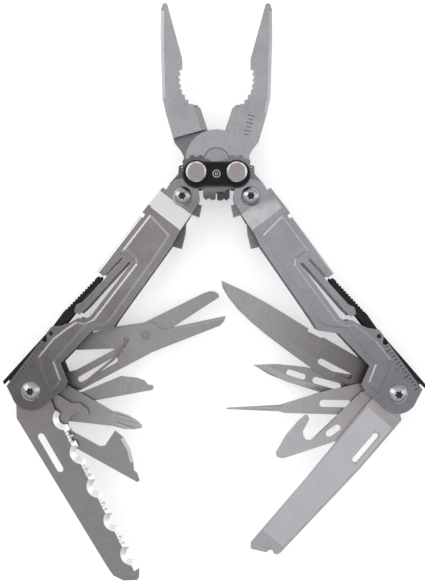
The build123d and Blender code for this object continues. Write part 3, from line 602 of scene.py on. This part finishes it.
def handle_levels(face, sink):
    """The lower and upper level of a mark on a handle's front face, 1, or rear face, -1."""
    return sorted(middle_plane() + face * (SHELL_FACE + height) for height in (-sink, SURFACE_GAP))


def tick_length(i):
    if i % 8 == 4:
        return TICK_LENGTHS[0]
    return TICK_LENGTHS[1] if i % 4 == 0 else TICK_LENGTHS[2]


def ruler_tick(side, i):
    """The outline of a handle's ruler mark."""
    x = FIRST_TICK + TICK_PITCH * i
    low = RULER_LINE - tick_length(i)
    half = TICK_WIDTH / 2
    corners = [(x - half, RULER_LINE), (x + half, RULER_LINE), (x + half, low), (x - half, low)]
    return anticlockwise([handle_place(side, *corner) for corner in corners])


def add_ruler_marks(side, material):
    """Inked ruler lines along each face of a handle, and a small ring mark."""
    for face, shell in ((1, "front"), (-1, "rear")):
        levels = handle_levels(face, INK_DEPTH)
        parts = [prism(ruler_tick(side, i), *levels) for i in range(TICKS)]
        place = handle_place(side, *HANDLE_MARK["place"])
        parts.append(ring(place, *HANDLE_MARK["radii"], *handle_levels(face, 0.0), count=24))
        add_piece(f"{side}_{shell}_ruler_marks", parts, material, f"handle_{side}")


def recess_outline(centre, count=60):
    """The lobed floor of a driver recess."""
    outline = []
    for i in range(count):
        turn = 2 * math.pi * i / count
        lobe = ((1 + math.cos(RECESS["lobes"] * turn)) / 2) ** 1.5
        outline.append(polar(centre, RECESS["radius"] + RECESS["lobe_height"] * lobe, turn))
    return outline


def add_recess_shadows(side, place, material):
    """A painted shadow: the dark floor of the driver recess in each end of a screw."""
    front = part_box(f"{side}_{place}_screw")[1].z / MM
    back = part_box(f"{side}_{place}_sleeve")[0].z / MM
    outline = recess_outline(axis_point(f"{side}_{place}_screw"))
    floor, bottom = RECESS["floor"], RECESS["bottom"]
    parts = [prism(outline, front - bottom, front - floor), prism(outline, back + floor, back + bottom)]
    body = body_with(f"{side}_{place}_screw")
    add_piece(f"{side}_{place}_recess_floors", parts, material, body)


def file_edge(x):
    """The file's wider edge at x from its axle."""
    return FILE_EDGE - FILE_TAPER * max(x - FILE_TAPER_START, 0.0)


def file_tooth(axle, x, y, face, height):
    """A four-sided point on the file's face; a negative height points down."""
    angle = TOOLS["file"]["angle"]
    half = FILE_CUT["pitch"] * TOOTH_SHARE
    base = [(x - half, y), (x, y - half), (x + half, y), (x, y + half)]
    points = [(*tool_place(axle, angle, *corner), face) for corner in base]
    points.append((*tool_place(axle, angle, x, y), face + height))
    faces = [[0, 1, 4], [1, 2, 4], [2, 3, 4], [3, 0, 4], [3, 2, 1, 0]]
    if height < 0:
        faces = [each[::-1] for each in faces]
    return points, faces


def tooth_places():
    """Crossed rows of places on the file's cut face, clear of its slot."""
    half = FILE_CUT["pitch"] / 2
    places = []
    for i in range(int((FILE_CUT["end"] - FILE_CUT["start"]) / half)):
        x = FILE_CUT["start"] + half * i
        y = FILE_CUT["low"] + (half if i % 2 else 0)
        while y < file_edge(x) - FILE_CUT["margin"]:
            slot_x = min(max(x, FILE_SLOT["start"]), FILE_SLOT["end"])
            if math.hypot(x - slot_x, y - FILE_SLOT["y"]) > FILE_SLOT["radius"] + half:
                places.append((x, y))
            y += FILE_CUT["pitch"]
    return places


def add_file_teeth(material):
    """Crossed cuts stand as rows of small four-sided teeth on both faces of the file."""
    low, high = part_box("file")
    axle = axis_point("right_axle_screw")
    for name, face, sign in (("front", high.z / MM, 1), ("rear", low.z / MM, -1)):
        height = sign * FILE_CUT["height"]
        parts = [file_tooth(axle, x, y, face, height) for x, y in tooth_places()]
        add_piece(f"file_{name}_teeth", parts, material, body_with("file"))


def add_stud_faces():
    """The turned faces of the two studs, front and back."""
    low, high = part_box("link_studs")
    y = (low.y + high.y) / 2 / MM
    for side, x in (("left", low.x / MM + STUD_RADIUS), ("right", high.x / MM - STUD_RADIUS)):
        outline = circle((x, y), STUD_RADIUS - STUD_RIM)
        parts = [
            prism(outline, high.z / MM, high.z / MM + SURFACE_GAP),
            prism(outline, low.z / MM - SURFACE_GAP, low.z / MM),
        ]
        centre = (x * MM, y * MM)
        turned = turned_steel(f"{side}_stud_turned", centre, STUD_FACE, roughness=0.3, ring_pitch=0.7)
        add_piece(f"{side}_stud_faces", parts, turned, body_with("link_studs"))


def add_pivot_rings(material):
    """The scribed ring about the pivot, front and back."""
    low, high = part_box("jaw_pivot")
    pivot = axis_point("jaw_pivot")
    parts = [
        ring(pivot, *PIVOT_RING, high.z / MM, high.z / MM + SURFACE_GAP),
        ring(pivot, *PIVOT_RING, low.z / MM - SURFACE_GAP, low.z / MM),
    ]
    add_piece("pivot_scribed_rings", parts, material, body_with("jaw_pivot"))


def add_link_marks(material):
    """Two rings, one in the other, on each link plate."""
    for name, end, sign in (("link_plate_front", 1, 1), ("link_plate_rear", 0, -1)):
        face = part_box(name)[end].z / MM
        levels = sorted((face, face + sign * SURFACE_GAP))
        centre = axis_point(name)
        rings = [ring(centre, inner, outer, *levels, count=sides) for inner, outer, sides in LINK_RINGS]
        add_piece(f"{name}_mark", rings, material, body_with(name))


def add_graduation(material):
    """A row of plain strokes on the right jaw."""
    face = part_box("jaw_pivot")[1].z / MM
    centre = tool_place(axis_point("jaw_pivot"), GRADUATION["angle"], GRADUATION["reach"], 0)
    tall = GRADUATION["width"] / 2
    strokes = []
    for i in range(GRADUATION["count"]):
        half = STROKE_LENGTHS[i % 2] / 2
        middle = GRADUATION["pitch"] * (i - (GRADUATION["count"] - 1) / 2)
        corners = [(-half, -tall), (half, -tall), (half, tall), (-half, tall)]
        outline = [tool_place(centre, GRADUATION["turn"], x, y + middle) for x, y in corners]
        strokes.append(prism(outline, face, face + SURFACE_GAP))
    add_piece("jaw_graduation", strokes, material, "jaw_right")


def add_rivet_ring(material):
    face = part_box("scissor_rivet")[1].z / MM
    mark = ring(axis_point("scissor_rivet"), *RIVET_RING, face, face + SURFACE_GAP)
    add_piece("rivet_ring", [mark], material, body_with("scissor_rivet"))


def add_pieces():
    dark = ink("dark_ink", DARK_INK)
    shadow = ink("recess_shadow", RECESS_SHADOW)
    for side in ("left", "right"):
        add_ruler_marks(side, dark)
        for place in ("fold", "axle"):
            add_recess_shadows(side, place, shadow)
    add_file_teeth(blasted_steel("file_cut_steel", *FILE_STEEL, roughness=0.34, edge=FILE_BEVEL))
    add_stud_faces()
    add_pivot_rings(dark)
    add_link_marks(blasted_steel("mark_silver", *MARK_SILVER, roughness=0.35))
    add_graduation(dark)
    add_rivet_ring(dark)


# ---------------------------------------------------------------- studio
def add_floor():
    mesh = bpy.data.meshes.new("floor")
    half = FLOOR_HALF
    corners = [(-half, -half, 0), (half, -half, 0), (half, half, 0), (-half, half, 0)]
    mesh.from_pydata(corners, [], [(0, 1, 2, 3)])
    floor = bpy.data.objects.new("floor", mesh)
    bpy.context.scene.collection.objects.link(floor)
    material, surface = new_material("pale_paper", 0.0, 0.9)
    surface.inputs["Base Color"].default_value = (*PAPER, 1.0)
    surface.inputs["Specular IOR Level"].default_value = 0.1
    surface.inputs["Emission Color"].default_value = (1.0, 1.0, 1.0, 1.0)
    surface.inputs["Emission Strength"].default_value = PAPER_GLOW
    mesh.materials.append(material)


def add_softbox(name, place, size, power):
    data = bpy.data.lights.new(name, "AREA")
    data.shape = "RECTANGLE"
    data.size, data.size_y = size
    data.energy = power
    light = bpy.data.objects.new(name, data)
    light.location = place
    light.rotation_euler = (-Vector(place)).to_track_quat("-Z", "Y").to_euler()
    bpy.context.scene.collection.objects.link(light)


def add_world():
    """Bright overhead, dimmer towards the horizon and on the near side."""
    world = bpy.data.worlds.new("studio")
    bpy.context.scene.world = world
    world.use_nodes = True
    direction = on_part(world, "Generated")
    split = add_node(world, "ShaderNodeSeparateXYZ", {"Vector": direction})
    far = spread(world, split.outputs["Y"], *NEAR_TO_FAR)
    up = spread(world, split.outputs["Z"], *HORIZON_TO_OVERHEAD)
    rim = blend_colours(world, far, NEAR_HORIZON, FAR_HORIZON)
    sky = blend_colours(world, up, rim, OVERHEAD)
    background = world.node_tree.nodes["Background"]
    supply(world, background.inputs["Color"], sky)
    background.inputs["Strength"].default_value = SKY_STRENGTH


def add_camera():
    data = bpy.data.cameras.new("camera")
    data.sensor_fit = "VERTICAL"
    data.sensor_height = SENSOR
    data.lens = SENSOR * CAMERA_HEIGHT / FRAME_HEIGHT
    data.clip_start = 0.01
    camera = bpy.data.objects.new("camera", data)
    camera.location = (FRAME_CENTRE[0] * MM, FRAME_CENTRE[1] * MM, (FRAME_PLANE + CAMERA_HEIGHT) * MM)
    bpy.context.scene.collection.objects.link(camera)
    bpy.context.scene.camera = camera


dress_jaws()
dress_head()
for handle in ("left", "right"):
    dress_arm(handle)
    dress_handle(handle)
for tool_name, tool_look in TOOLS.items():
    dress_tool(tool_name, tool_look)
dress_scissor_fittings()
add_pieces()
add_floor()
for box_name, (box_place, box_size, box_power) in SOFTBOXES.items():
    add_softbox(box_name, box_place, box_size, box_power)
add_world()
add_camera()
bpy.context.scene.view_settings.view_transform = "Standard"
